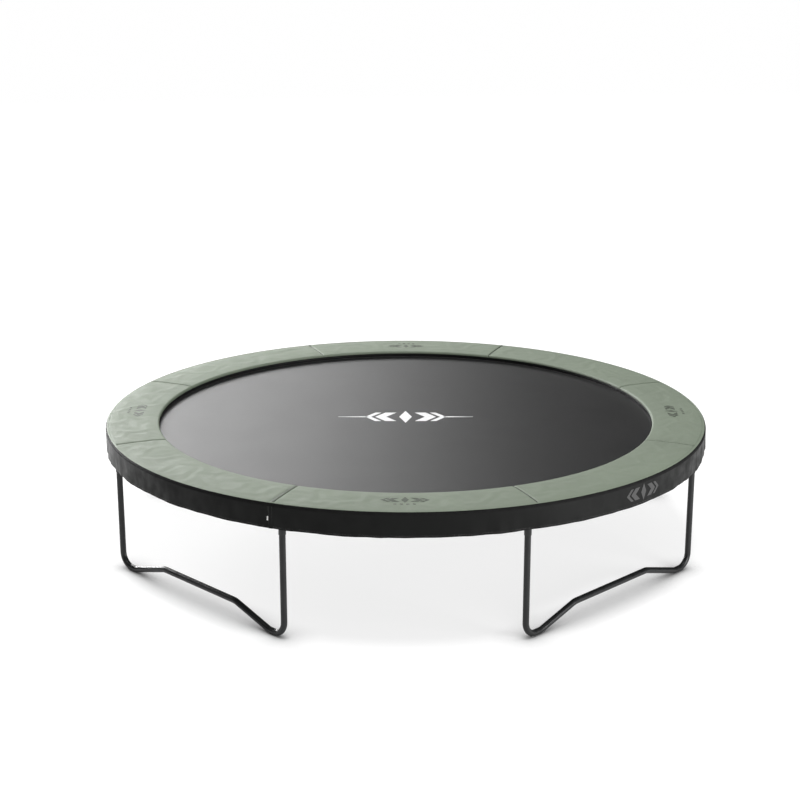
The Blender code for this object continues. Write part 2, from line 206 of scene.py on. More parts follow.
def tube_rings(path, radius, sides, closed=False, up=(0, 0, 1)):
    """Rings of a tube along a path, carried along it without twisting."""
    path = np.asarray(path, float)
    ahead = np.roll(path, -1, 0) - path
    behind = path - np.roll(path, 1, 0)
    if not closed:
        ahead[-1], behind[0] = behind[-1], ahead[0]
    tangent = unit_rows(unit_rows(ahead) + unit_rows(behind))
    normal = np.array(up, float)
    radii = np.broadcast_to(radius, len(path))
    turns = np.arange(sides) * TAU / sides
    rings = []
    for centre, direction, r in zip(path, tangent, radii):
        normal = normal - normal.dot(direction) * direction
        if np.linalg.norm(normal) < 1e-6:
            normal = np.cross(direction, (1.0, 0.0, 0.0))
        normal /= np.linalg.norm(normal)
        side = np.cross(direction, normal)
        rings.append(centre + r * (np.cos(turns)[:, None] * normal + np.sin(turns)[:, None] * side))
    return rings


def stitch_row(shape, path, length=0.006, gap=0.003, radius=0.0005, slot=0):
    """Short raised threads along a path of points."""
    path = [Vector(p) for p in path]
    run = 0.0
    for start, end in zip(path, path[1:]):
        span = (end - start).length
        along = (end - start) / span
        while run < span:
            head = start + along * run
            tail = start + along * min(span, run + length)
            if (tail - head).length > length * 0.3:
                middle = (head + tail) / 2 + Vector((0, 0, radius * 0.6))
                shape.add_tube([head, middle, tail], radius, 5, slot)
            run += length + gap
        run -= span


def ray_height(tree, x, y, from_z):
    """Height of a surface straight under a point."""
    hit = tree.ray_cast(Vector((x, y, from_z)), Vector((0, 0, -1)))[0]
    return hit.z if hit else None


def tree_of(piece):
    mesh = piece.data
    points = [v.co for v in mesh.vertices]
    return BVHTree.FromPolygons(points, [tuple(p.vertices) for p in mesh.polygons])


# --- materials --------------------------------------------------------
class Surface:
    """One Principled material and short ways to add procedural detail to it."""

    def __init__(self, name, colour, roughness, metallic=0.0, specular=0.5):
        self.material = bpy.data.materials.new(name)
        self.material.use_nodes = True
        self.nodes = self.material.node_tree.nodes
        self.links = self.material.node_tree.links
        self.shader = self.nodes["Principled BSDF"]
        self.set("Base Color", (*colour, 1.0))
        self.set("Roughness", roughness)
        self.set("Metallic", metallic)
        self.set("Specular IOR Level", specular)
        self.colour = colour
        self.bump_chain = None
        self.where = self.nodes.new("ShaderNodeTexCoord").outputs["Object"]

    def set(self, socket, value):
        self.shader.inputs[socket].default_value = value

    def node(self, kind, **values):
        made = self.nodes.new(kind)
        for key, value in values.items():
            setattr(made, key, value)
        return made

    def stretched(self, scale):
        mapping = self.node("ShaderNodeMapping")
        mapping.inputs["Scale"].default_value = scale
        self.links.new(self.where, mapping.inputs["Vector"])
        return mapping.outputs["Vector"]

    def noise(self, scale, detail=3.0, stretch=(1, 1, 1), roughness=0.5):
        made = self.node("ShaderNodeTexNoise")
        made.inputs["Scale"].default_value = scale
        made.inputs["Detail"].default_value = detail
        made.inputs["Roughness"].default_value = roughness
        self.links.new(self.stretched(stretch), made.inputs["Vector"])
        return made.outputs["Fac"]

    def math(self, operation, first, second=None):
        made = self.node("ShaderNodeMath", operation=operation)
        for socket, value in zip(made.inputs, (first, second)):
            if isinstance(value, (int, float)):
                socket.default_value = value
            elif value is not None:
                self.links.new(value, socket)
        return made.outputs[0]

    def weave(self, period):
        """Height of a plain weave, as two crossed sines."""
        split = self.node("ShaderNodeSeparateXYZ")
        self.links.new(self.where, split.inputs[0])
        waves = [self.math("SINE", self.math("MULTIPLY", split.outputs[axis], TAU / period))
                 for axis in ("X", "Y")]
        return self.math("MULTIPLY", *waves)

    def ramp(self, factor, stops):
        made = self.node("ShaderNodeValToRGB")
        points = made.color_ramp.elements
        while len(points) < len(stops):
            points.new(0.5)
        for point, (position, value) in zip(points, stops):
            point.position = position
            point.color = (*value, 1.0) if isinstance(value, tuple) else (value, value, value, 1.0)
        self.links.new(factor, made.inputs["Fac"])
        return made.outputs["Color"]

    def vary_colour(self, factor, dark, light, low=0.35, high=0.65):
        """Colour between dark and light times the base colour."""
        shades = [tuple(c * k for c in self.colour) for k in (dark, light)]
        mixed = self.ramp(factor, [(low, shades[0]), (high, shades[1])])
        self.links.new(mixed, self.shader.inputs["Base Color"])

    def vary_roughness(self, factor, smooth, rough, low=0.35, high=0.65):
        mixed = self.ramp(factor, [(low, smooth), (high, rough)])
        self.links.new(mixed, self.shader.inputs["Roughness"])

    def bump(self, height, distance, strength=1.0):
        made = self.node("ShaderNodeBump")
        made.inputs["Distance"].default_value = distance
        made.inputs["Strength"].default_value = strength
        self.links.new(height, made.inputs["Height"])
        if self.bump_chain is not None:
            self.links.new(self.bump_chain, made.inputs["Normal"])
        self.bump_chain = made.outputs["Normal"]
        self.links.new(self.bump_chain, self.shader.inputs["Normal"])


def mat_mesh():
    """Woven polypropylene: dark, with a broad sheen towards low light."""
    surface = Surface("mat_mesh", (0.006, 0.006, 0.0062), 0.48)
    surface.vary_colour(surface.noise(1.6, 4), 0.92, 1.08)
    surface.vary_roughness(surface.noise(2.5, 2), 0.43, 0.445)
    surface.bump(surface.weave(0.0042), 0.00035, 0.35)
    surface.bump(surface.noise(700, 1), 0.0002, 0.15)
    return surface.material


def webbing(name, colour, specular=0.3):
    surface = Surface(name, colour, 0.75, specular=specular)
    surface.vary_colour(surface.noise(30, 3), 0.85, 1.15)
    surface.bump(surface.weave(0.003), 0.0005, 0.6)
    return surface.material


def pad_vinyl():
    """Green coated fabric: fine grain, soft creases, faint fading."""
    surface = Surface("pad_vinyl_green", (0.144, 0.178, 0.126), 0.72, specular=0.95)
    surface.vary_colour(surface.noise(2.2, 5, roughness=0.6), 0.95, 1.05)
    surface.vary_roughness(surface.noise(9, 4), 0.67, 0.77)
    surface.bump(surface.noise(7, 4, roughness=0.55), 0.004, 0.35)
    surface.bump(surface.weave(0.0024), 0.0002, 0.25)
    surface.bump(surface.noise(260, 2), 0.0004, 0.2)
    return surface.material


def dark_vinyl(name, colour, specular=0.14):
    surface = Surface(name, colour, 0.5, specular=specular)
    surface.vary_colour(surface.noise(3, 4), 0.85, 1.2)
    surface.vary_roughness(surface.noise(12, 4), 0.42, 0.6)
    surface.bump(surface.noise(9, 4, stretch=(1, 1, 0.35)), 0.004, 0.3)
    surface.bump(surface.noise(300, 2), 0.0004, 0.25)
    return surface.material


def powder_coat():
    surface = Surface("black_powder_coat", (0.010, 0.0105, 0.011), 0.36, specular=0.35)
    surface.vary_colour(surface.noise(14, 5), 0.85, 1.25)
    surface.vary_roughness(surface.noise(40, 4), 0.30, 0.44)
    surface.bump(surface.noise(900, 2), 0.0003, 0.25)
    return surface.material


def zinc(name):
    surface = Surface(name, (0.56, 0.57, 0.58), 0.36, metallic=1.0)
    spangle = surface.node("ShaderNodeTexVoronoi")
    spangle.inputs["Scale"].default_value = 160
    surface.links.new(surface.where, spangle.inputs["Vector"])
    surface.vary_colour(spangle.outputs["Color"], 0.82, 1.08, 0.2, 0.8)
    surface.vary_roughness(surface.noise(60, 3), 0.28, 0.48)
    surface.bump(surface.noise(400, 3), 0.0003, 0.2)
    return surface.material


def plain_print(name, colour):
    surface = Surface(name, colour, 0.6, specular=0.3)
    surface.vary_colour(surface.noise(120, 3), 0.9, 1.05)
    surface.bump(surface.noise(500, 2), 0.0002, 0.2)
    return surface.material


def thread(name, colour):
    surface = Surface(name, colour, 0.6, specular=0.3)
    surface.bump(surface.noise(1500, 1), 0.0002, 0.3)
    return surface.material


def follow_bounce(piece):
    """Bakes the piece's placement into its points."""
    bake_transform(piece)


# --- jump mat ---------------------------------------------------------
MAT_THICKNESS = 0.0016
MAT_RINGS = 48
ROUND_SIDES = 192               # sides of the mat and of the flat bands round it
WEBBING_INNER_R = 1.786
TAB_INNER_R = 1.790
TAB_HALF_WIDTH = 0.0175


def build_mat(material):
    """Taut woven disc, as one thin closed body."""
    radii = [MAT_R * i / MAT_RINGS for i in range(1, MAT_RINGS + 1)]
    top = [circle(radius, ROUND_SIDES, MAT_TOP) for radius in radii]
    low = [circle(radius, ROUND_SIDES, MAT_TOP - MAT_THICKNESS) for radius in reversed(radii)]
    shape = Shape()
    shape.add_rings(top + low)
    mat = shape.finish("mat_surface", [material])
    follow_bounce(mat)
    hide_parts("jump_mat")


def ring_band(shape, inner, outer, low, high, rounding=0.0008):
    """A flat closed ring with softened edges."""
    profile = [(inner, low + rounding), (inner, high - rounding), (inner + rounding, high),
               (outer - rounding, high), (outer, high - rounding), (outer, low + rounding),
               (outer - rounding, low), (inner + rounding, low)]
    rings = [[polar(r, 360 * i / ROUND_SIDES, z) for r, z in profile] for i in range(ROUND_SIDES)]
    shape.add_rings(rings, closed=True)


def tab_outline():
    """(radius, height over the mat) round a tab: folded over the V-ring, open towards the mat."""
    return [(TAB_INNER_R, -0.0062), (1.842, -0.0050), (BAND_OUTER_R, -0.0015), (1.842, 0.0028),
            (TAB_INNER_R, 0.0042), (TAB_INNER_R, 0.0026), (1.828, 0.0018), (1.8425, 0.0006),
            (1.8425, -0.0032), (1.828, -0.0040), (TAB_INNER_R, -0.0046)]


def build_mat_edge(material, stitching):
    """Webbing sewn round the mat, with a tab over each V-ring."""
    edge = Shape()
    ring_band(edge, WEBBING_INNER_R, MAT_R, MAT_TOP + 0.0003, MAT_TOP + 0.0022)
    ring_band(edge, WEBBING_INNER_R, MAT_R, MAT_TOP - 0.0042, MAT_TOP - MAT_THICKNESS - 0.0003)
    ring_band(edge, MAT_R - 0.0005, BAND_OUTER_R - 0.016, MAT_TOP - 0.0034, MAT_TOP + 0.0012)
    piece = edge.finish("mat_edge_webbing", [material])
    follow_bounce(piece)

    tabs = Shape()
    rings = [[(r, side * TAB_HALF_WIDTH, MAT_TOP + z) for r, z in tab_outline()]
             for side in (-1, -0.33, 0.33, 1)]
    for i in range(SPRING_COUNT):
        tabs.add_rings(list(turned(rings, (i + 0.5) * SPRING_DEGREES)))
    piece = tabs.finish("v_ring_tabs", [material])
    follow_bounce(piece)

    rows = Shape()
    for radius in (1.789, 1.796, 1.811):
        path = [polar(radius, 360 * i / 480, MAT_TOP + 0.0024) for i in range(481)]
        stitch_row(rows, path, length=0.009, gap=0.005)
    piece = rows.finish("mat_edge_stitching", [stitching])
    follow_bounce(piece)


# --- springs ----------------------------------------------------------
def spring_path():
    """Wire of one spring along +X: hook at the V-ring, close coils, hook at the rail."""
    start, end = SPRING_BODY
    coil_r = SPRING_R - SPRING_WIRE_R
    turns, steps = 44, 9

    def height(radius):
        climb = (radius - BAND_OUTER_R) / (RAIL_R - BAND_OUTER_R)
        return SPRING_MAT_Z + (RAIL_Z - SPRING_MAT_Z) * climb

    path = []
    for i in range(10):                                    # open hook round the V-ring
        angle = math.radians(-150 + 300 * i / 9)
        path.append((HOOK_CENTRE_R - HOOK_R * math.cos(angle + math.pi), 0,
                     height(HOOK_CENTRE_R) + HOOK_R * math.sin(angle)))
    path = [p for p in path if p[0] < 1.8700] + [(r, 0, height(r)) for r in (1.874, 1.880)]
    for i in range(turns * steps + 1):
        share = i / (turns * steps)
        taper = min(1.0, 0.18 + share * turns / 2.6, 0.18 + (1 - share) * turns / 2.6)
        angle = TAU * turns * share
        r = start + (end - start) * share
        path.append((r, coil_r * taper * math.sin(angle), height(r) + coil_r * taper * math.cos(angle)))
    hook_z = RAIL_Z + 0.001
    path += [(2.0745, 0, hook_z), (2.0830, 0, hook_z), (2.0930, 0, hook_z), (2.1015, 0, hook_z + 0.0002),
             (2.1060, 0, hook_z - 0.0015), (2.1085, 0, hook_z - 0.0055), (2.1085, 0, hook_z - 0.0110)]
    return path


def v_ring_path():
    """Bent wire triangle: its base lies in the webbing tab, its point holds the hook."""
    corners = [(1.8375, -0.0150), (1.8375, 0.0150), (1.8715, 0.0)]
    path = []
    for i, (x, y) in enumerate(corners):
        before, after = Vector(corners[i - 1]), Vector(corners[(i + 1) % 3])
        here = Vector((x, y))
        for share in (0.0, 0.33, 0.67, 1.0):               # rounded corner
            a = here + (before - here).normalized() * 0.0045 * (1 - share)
            b = here + (after - here).normalized() * 0.0045 * share
            mixed = a * (1 - share) + b * share
            path.append((mixed.x, mixed.y, MAT_TOP - 0.0012))
    return path


def build_springs(material, ring_material):
    spring = tube_rings(spring_path(), SPRING_WIRE_R, 6, up=(0, 1, 0))
    v_ring = tube_rings(v_ring_path(), 0.0016, 8, closed=True)
    for bank in range(BANKS):
        coils, rings = Shape(), Shape()
        for i in range(SPRING_COUNT // BANKS):
            degrees = bank * PANEL_DEGREES - PANEL_DEGREES / 2 + (i + 0.5) * SPRING_DEGREES
            coils.add_rings(list(turned(spring, degrees)))
            rings.add_rings(list(turned(v_ring, degrees)), closed=True)
        piece = coils.finish(f"coil_springs_{bank + 1}", [material], sharp=60)
        follow_bounce(piece)
        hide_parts(f"spring_bank_{bank + 1}")
        piece = rings.finish(f"v_rings_{bank + 1}", [ring_material], sharp=60)
        follow_bounce(piece)


# --- frame tubes ------------------------------------------------------
def post_directions():
    return [90 * leg + side * POST_DEGREES for leg in range(4) for side in (-1, 1)]


def arc_path(radius, start, end, steps, height):
    return [polar(radius, start + (end - start) * i / steps, height) for i in range(steps + 1)]


def build_rails(material):
    """Bent tubes with a row of hook holes facing the mat."""
    posts = post_directions()
    for i, start in enumerate(posts):
        end = posts[i + 1] if i < 7 else posts[0] + 360
        inset = math.degrees(0.003 / RAIL_R)
        shape = Shape()
        path = arc_path(RAIL_R, start + inset, end - inset, 36, RAIL_Z)
        shape.add_pipe(path, RAIL_TUBE_R, RAIL_TUBE_R - RAIL_WALL, 24)
        rail = shape.finish(f"rail_tube_{i + 1}", [material], sharp=50)
        first = math.ceil(start / SPRING_DEGREES - 0.5)
        punches = Shape()
        angle = (first + 0.5) * SPRING_DEGREES
        while angle < end:
            punch = [polar(r, angle, RAIL_Z + 0.001) for r in (RAIL_R - 0.035, RAIL_R - 0.015)]
            punches.add_tube(punch, HOOK_HOLE_R, 12)
            angle += SPRING_DEGREES
        cut_with(rail, punches)
        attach(rail, "frame")
        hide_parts(f"top_rail_{i + 1}")


def cut_with(piece, shape):
    """Cuts a shape out of a piece for good."""
    cutter = shape.finish("cutter", [])
    modifier = piece.modifiers.new("cut", "BOOLEAN")
    modifier.operation = "DIFFERENCE"
    modifier.solver = "EXACT"
    modifier.object = cutter
    graph = bpy.context.evaluated_depsgraph_get()
    mesh = bpy.data.meshes.new_from_object(piece.evaluated_get(graph))
    piece.modifiers.clear()
    piece.data = mesh
    mesh.shade_smooth()
    mesh.set_sharp_from_angle(angle=math.radians(50))
    bpy.data.objects.remove(cutter)


def post_ring(direction, radius, sides, level=None, lift=0.0):
    """Ring round a post's axis: level, or along the saddle where it meets the sleeve."""
    centre = polar(RAIL_R, direction, 0)
    out, side = polar(1, direction, 0), polar(1, direction + 90, 0)
    ring = []
    for k in range(sides):
        turn = TAU * k / sides
        across = radius * math.cos(turn)
        z = RAIL_Z - math.sqrt(SLEEVE_R ** 2 - across ** 2) + lift if level is None else level
        ring.append(centre + out * across + side * radius * math.sin(turn) + Vector((0, 0, z)))
    return ring


def build_t_joints(material):
    """Sleeve over two rail ends, a socket with a saddle-cut top, and the weld between."""
    sides, weld_steps, weld_ripples = 32, 96, 24
    half = math.degrees(SLEEVE_HALF / RAIL_R)
    levels = [None, RAIL_Z - 0.06, RAIL_Z - 0.11, SOCKET_BOTTOM + 0.001]
    bead = 0.0024 + 0.0005 * np.sin(np.arange(weld_steps) * TAU * weld_ripples / weld_steps)
    for i, direction in enumerate(post_directions()):
        shape = Shape()
        shape.add_pipe(arc_path(RAIL_R, direction - half, direction + half, 12, RAIL_Z),
                       SLEEVE_R, SLEEVE_BORE_R, sides)
        outer = [post_ring(direction, SOCKET_R, sides, level, 0.0008) for level in levels]
        outer.append(post_ring(direction, SOCKET_R - 0.0007, sides, SOCKET_BOTTOM))
        inner = [post_ring(direction, SOCKET_BORE_R, sides, level, 0.0008) for level in levels]
        shape.add_rings(outer + inner[::-1], closed=True)
        weld = post_ring(direction, SOCKET_R + 0.001, weld_steps, lift=-0.0006)
        shape.add_rings(tube_rings(weld, bead, 8, closed=True), closed=True)
        joint = shape.finish(f"t_joint_sleeve_{i + 1}", [material], sharp=50)
        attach(joint, "frame")
        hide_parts(f"t_joint_{i + 1}")


# --- legs -------------------------------------------------------------
def arc_points(centre, radius, start, end, steps):
    return [(centre[0] + radius * math.cos(start + (end - start) * i / steps),
             centre[1] + radius * math.sin(start + (end - start) * i / steps)) for i in range(steps + 1)]


def half_leg():
    """(along, height) from a post's top to the middle of the leg."""
    low = LEG_R * math.cos(math.pi / 10)
    centre = (-HALF_CHORD + LEG_BEND_R, low + LEG_BEND_R)
    points = [(-HALF_CHORD, LEG_TOP - 0.12 * i) for i in range(6)]
    points += arc_points(centre, LEG_BEND_R, math.pi, 1.5 * math.pi, 18)
    lift = (centre[0] + LEG_FOOT_FLAT, centre[1])
    points += arc_points(lift, LEG_BEND_R, 1.5 * math.pi, 1.5 * math.pi + LEG_RISE, 5)
    slope = math.tan(LEG_RISE)
    kink = (points[-1][0] + (LEG_MIDDLE_Z - points[-1][1]) / slope, LEG_MIDDLE_Z)
    reach = LEG_SOFT_KINK_R * math.tan(LEG_RISE / 2)
    bend = (kink[0] + reach, LEG_MIDDLE_Z - LEG_SOFT_KINK_R)
    points += arc_points(bend, LEG_SOFT_KINK_R, math.pi / 2 + LEG_RISE, math.pi / 2, 6)
    points.append((points[-1][0] / 2, LEG_MIDDLE_Z))
    return points


def build_legs(material):
    half = half_leg()
    profile = half + [(-along, height) for along, height in reversed(half)]
    for leg in range(4):
        shape = Shape()
        path = turned(np.array([(LEG_PLANE, along, height) for along, height in profile]), 90 * leg)
        shape.add_tube(path, LEG_R, 28, up=polar(1, 90 * leg, 0))
        piece = shape.finish(f"leg_tube_{leg + 1}", [material], sharp=50)
        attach(piece, "frame")
        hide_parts(f"leg_{leg + 1}")


# --- safety pad -------------------------------------------------------
PAD_RINGS = 80
PAD_TOP_POINTS = 27
PAD_CROWN = 0.0045
FOAM_GRIP = 0.15                # how firmly the foam carries the cover between the seams
COVER_EXCESS = 0.0014           # how much larger the cover is cut than the foam
NEAR_SEAM = (0.0, 0.0008, 0.0022, 0.0044, 0.0072, 0.011)    # stations that round a panel's end
SEWN_Z = PAD_INNER_BOTTOM + 0.0105                          # the panel's ends narrow to this height
UNDER_FACES = range(5, 20)      # faces of the outline from under the nose to the outer side
BINDING_PROFILE = ((-1, -0.0016), (-0.8, 0.0), (-0.3, 0.0006), (0.3, 0.0006), (0.8, 0.0),
                   (1, -0.0016), (0.8, -0.0034), (-0.8, -0.0034))


def pad_top_height(share):
    """Height of the pad's top from its inner edge (0) to its outer edge (1)."""
    base = PAD_INNER_TOP + (PAD_OUTER_TOP - PAD_INNER_TOP) * share
    return base + PAD_CROWN * (1 - abs(2 * share - 1) ** 3)


def pad_outline():
    """(radius, height, share or None) round the pad's cross-section."""
    nose_r = (PAD_INNER_TOP - PAD_INNER_BOTTOM) / 2
    nose = (PAD_INNER_R + nose_r, PAD_INNER_TOP - nose_r)
    outer = PAD_OUTER_R - 0.0004
    outline = []
    for i in range(1, 10):                                   # inner edge, from top to bottom
        angle = math.radians(90 + 180 * i / 10)
        outline.append((nose[0] + nose_r * math.cos(angle), nose[1] + nose_r * math.sin(angle), None))
    for i in range(9):                                       # underside
        share = i / 8
        radius = nose[0] + (outer - 0.004 - nose[0]) * share
        outline.append((radius, PAD_INNER_BOTTOM + (PAD_OUTER_BOTTOM - PAD_INNER_BOTTOM) * share, None))
    for share in (0.12, 0.5, 0.85):                          # outer side
        outline.append((outer, PAD_OUTER_BOTTOM + (PAD_OUTER_TOP - PAD_OUTER_BOTTOM) * share, None))
    for i in range(PAD_TOP_POINTS):                          # top, from outer to inner
        share = 1 - i / (PAD_TOP_POINTS - 1)
        radius = nose[0] + (outer - 0.003 - nose[0]) * share
        outline.append((radius, pad_top_height(share), share))
    return outline


def pad_crease(x, y, from_seam, share):
    """Rise or dip of the pad's top: slow waves, and puckers that run in from the seams."""
    slow = 0.0009 * noise.noise(Vector((x * 2.3, y * 2.3, 0.7)))
    ridge = 1 - abs(noise.noise(Vector((x * 4.1, y * 4.1, 5.2)))) * 2.2
    crease = 0.0010 * max(0.0, ridge - 0.55)
    ripple = noise.noise(Vector((share * 9, from_seam * 3.0, x + y)))
    pucker = 0.0022 * math.exp(-from_seam / 0.16) * ripple
    edge = min(1.0, 6 * share, 6 * (1 - share))
    return (slow + crease + pucker) * (0.25 + 0.75 * edge)


def is_closing_seam(index):
    """Whether the pad's ring closes at the seam after a panel."""
    return abs(index % BANKS * PANEL_DEGREES + PANEL_DEGREES / 2 - CLOSING_SEAM) < 1


def seam_half_width(index):
    """Half the gap between the panels at the seam after a panel."""
    return 0.0085 if is_closing_seam(index) else 0.0028


def build_pad_panel(index, materials):
    """One cushion; gives the piece and how firmly each of its points is held in the sewing."""
    middle = index * PANEL_DEGREES
    outline = pad_outline()
    mid_r = (PAD_INNER_R + PAD_OUTER_R) / 2
    full = math.radians(PANEL_DEGREES) * mid_r
    start, end = seam_half_width(index - 1), full - seam_half_width(index)
    first, last = start + NEAR_SEAM[-1], end - NEAR_SEAM[-1]
    stations = [start + n for n in NEAR_SEAM]
    stations += [first + (last - first) * i / PAD_RINGS for i in range(1, PAD_RINGS)]
    stations += [end - n for n in reversed(NEAR_SEAM)]
    rings, held = [], []
    for place in stations:
        from_seam = min(place - start, end - place)
        degrees = middle + math.degrees((place - full / 2) / mid_r)
        rounded = 1 - (1 - min(1.0, from_seam / NEAR_SEAM[-1])) ** 2
        squeeze = 0.5 + 0.5 * math.sqrt(max(0.0, rounded))
        ring = []
        for radius, height, share in outline:
            point = polar(radius, degrees, height)
            grip = 1.0
            if share is not None:
                point.z += pad_crease(point.x, point.y, from_seam, share)
                grip = 1 - smoothstep(min(share, 1 - share) / 0.12) * smoothstep(from_seam / 0.035)
            point.z = SEWN_Z + (point.z - SEWN_Z) * squeeze
            ring.append(point)
            held.append(grip)
        rings.append(ring)
    shape = Shape()
    shape.add_rings(rings)
    looks = [1 if k in UNDER_FACES else 0 for k in range(len(outline))]
    shape.slots = looks * (len(stations) - 1) + [0, 0]
    panel = shape.finish(f"pad_cushion_{index + 1}", materials, sharp=60)
    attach(panel, "frame")
    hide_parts(f"pad_panel_{index + 1}")
    return panel, held


def build_pad_shade_edging(material):
    """Dark strip sewn under the pad's inner edge, hanging down to the mat's border; it is painted shade,
    a dark sheet that fills the shaded gap under the pad's nose and hides the floor seen through it.
    """
    shape = Shape()
    ring_band(shape, PAD_INNER_R + 0.0040, PAD_INNER_R + 0.0058,
              MAT_TOP + 0.0046, PAD_INNER_BOTTOM + 0.0055)
    shade_edging = shape.finish("pad_inner_shade_edging", [material], sharp=60)
    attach(shade_edging, "frame")


def settle(pieces, grips, frames=24):
    """Lets the covers wrinkle as cloth, cut a little larger than the foam that carries them."""
    for piece, held in zip(pieces, grips):
        group = piece.vertex_groups.new(name="held")
        for i, grip in enumerate(held):
            group.add([i], FOAM_GRIP + (1 - FOAM_GRIP) * grip, "REPLACE")
        cloth = piece.modifiers.new("cover", "CLOTH")
        settings = cloth.settings
        settings.quality = 6
        settings.mass = 0.35
        settings.tension_stiffness = 25
        settings.compression_stiffness = 25
        settings.shear_stiffness = 12
        settings.bending_stiffness = 0.4
        settings.vertex_group_mass = "held"
        settings.pin_stiffness = 1.0
        settings.shrink_min = -COVER_EXCESS
        settings.effector_weights.gravity = 0.0
        cloth.collision_settings.use_collision = False
        cloth.point_cache.frame_end = frames
    scene = bpy.context.scene
    for frame_number in range(1, frames + 1):
        scene.frame_set(frame_number)
    graph = bpy.context.evaluated_depsgraph_get()
    for piece in pieces:
        mesh = bpy.data.meshes.new_from_object(piece.evaluated_get(graph))
        piece.modifiers.clear()
        piece.vertex_groups.clear()
        piece.data = mesh
    scene.frame_set(1)


def build_seam(index, materials):
    """Sunken binding between two panels, with a row of stitches on each side."""
    degrees = index * PANEL_DEGREES + PANEL_DEGREES / 2
    wide = is_closing_seam(index)
    half = seam_half_width(index) + (0.0060 if wide else 0.0022)
    sunk = -0.0008 if wide else 0.0052
    out, side = polar(1, degrees, 0), polar(1, degrees + 90, 0)
    profile = []
    for i in range(25):
        share = i / 24
        radius = PAD_INNER_R + 0.004 + (PAD_OUTER_R - 0.008 - PAD_INNER_R) * share
        drop = 0.006 * (1 - smoothstep(share / 0.06))
        profile.append(out * radius + Vector((0, 0, pad_top_height(share) - sunk - drop)))
    shape = Shape()
    shape.add_rings([[point + side * (half * s) + Vector((0, 0, z)) for s, z in BINDING_PROFILE]
                     for point in profile])
    for s in (-0.55, 0.55):
        row = [point + side * (half * s) + Vector((0, 0, 0.0008)) for point in profile[2:]]
        stitch_row(shape, row, length=0.006, gap=0.0035, radius=0.0005, slot=1)
    seam = shape.finish(f"pad_seam_{index + 1}", materials, sharp=60)
    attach(seam, "frame")


# --- skirt ------------------------------------------------------------
SKIRT_SHOULDER = 0.898
SKIRT_SIDES = 960
TAPE_FACES = range(12, 19)      # faces of the profile from the shoulder up
GREEN_FACES = range(19, 25)     # faces that turn over onto the pad
TAG_LOW, TAG_HIGH = 0.806, 0.832


def skirt_profile():
    """(radius, height) up the outside, over the shoulder to the lip, and back inside."""
    lip = PAD_OUTER_R + 0.0010
    wall = [SKIRT_BOTTOM + (SKIRT_SHOULDER - SKIRT_BOTTOM) * i / 12 for i in range(13)]
    outside = [(SKIRT_R, SKIRT_BOTTOM + 0.001)] + [(SKIRT_R, height) for height in wall[1:]]
    for i in range(1, 11):
        angle = math.radians(90 * i / 10)
        outside.append((lip + (SKIRT_R - lip) * math.cos(angle),
                        SKIRT_SHOULDER + (SKIRT_TOP - SKIRT_SHOULDER) * math.sin(angle)))
    outside += [(lip - 0.0080, SKIRT_TOP - 0.0003), (lip - 0.0080, SKIRT_TOP - 0.0011)]
    inside = [(lip + 0.0012, SKIRT_TOP - 0.0013)]
    inside += [(SKIRT_R - SKIRT_WALL, height) for height in reversed(wall)]
    return outside + inside


def skirt_fold(degrees, height):
    """How far the hanging wall leans out or in: shallow folds that deepen to the hem."""
    depth = min(1.0, max(0.0, (SKIRT_SHOULDER - height) / (SKIRT_SHOULDER - SKIRT_BOTTOM)))
    angle = math.radians(degrees)
    x, y = math.cos(angle), math.sin(angle)
    broad = noise.noise(Vector((x * 5.5, y * 5.5, 1.0)))
    narrow = noise.noise(Vector((x * 24, y * 24, height * 2.0)))
    crease = noise.noise(Vector((x * 60, y * 60, height * 9.0)))
    return depth ** 1.2 * (0.0030 * broad + 0.0080 * narrow) + depth ** 0.5 * 0.0016 * crease


def skirt_point(degrees, radius, height):
    point = polar(radius + skirt_fold(degrees, height), degrees, height)
    hem = max(0.0, 1 - (height - SKIRT_BOTTOM) / 0.05)
    angle = math.radians(degrees)
    point.z += hem * 0.0022 * noise.noise(Vector((math.cos(angle) * 9, math.sin(angle) * 9, 3.0)))
    return point


def build_skirt(cloth, green, tape, stitching):
    profile = skirt_profile()
    shape = Shape()
    shape.add_rings([[skirt_point(360 * i / SKIRT_SIDES, r, z) for r, z in profile]
                     for i in range(SKIRT_SIDES)], closed=True)
    looks = [1 if k in GREEN_FACES else 2 if k in TAPE_FACES else 0 for k in range(len(profile))]
    shape.slots = looks * SKIRT_SIDES
    skirt = shape.finish("skirt_wall", [cloth, green, tape], sharp=60)
    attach(skirt, "frame")
    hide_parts(*[f"skirt_piece_{i + 1}" for i in range(4)])

    hem = Shape()
    for lift in (0.010, 0.0145):
        path = [skirt_point(360 * i / 1440, SKIRT_R + 0.0008, SKIRT_BOTTOM + lift) for i in range(1441)]
        stitch_row(hem, path, length=0.006, gap=0.004, radius=0.0004)
    piece = hem.finish("skirt_hem_stitching", [stitching])
    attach(piece, "frame")


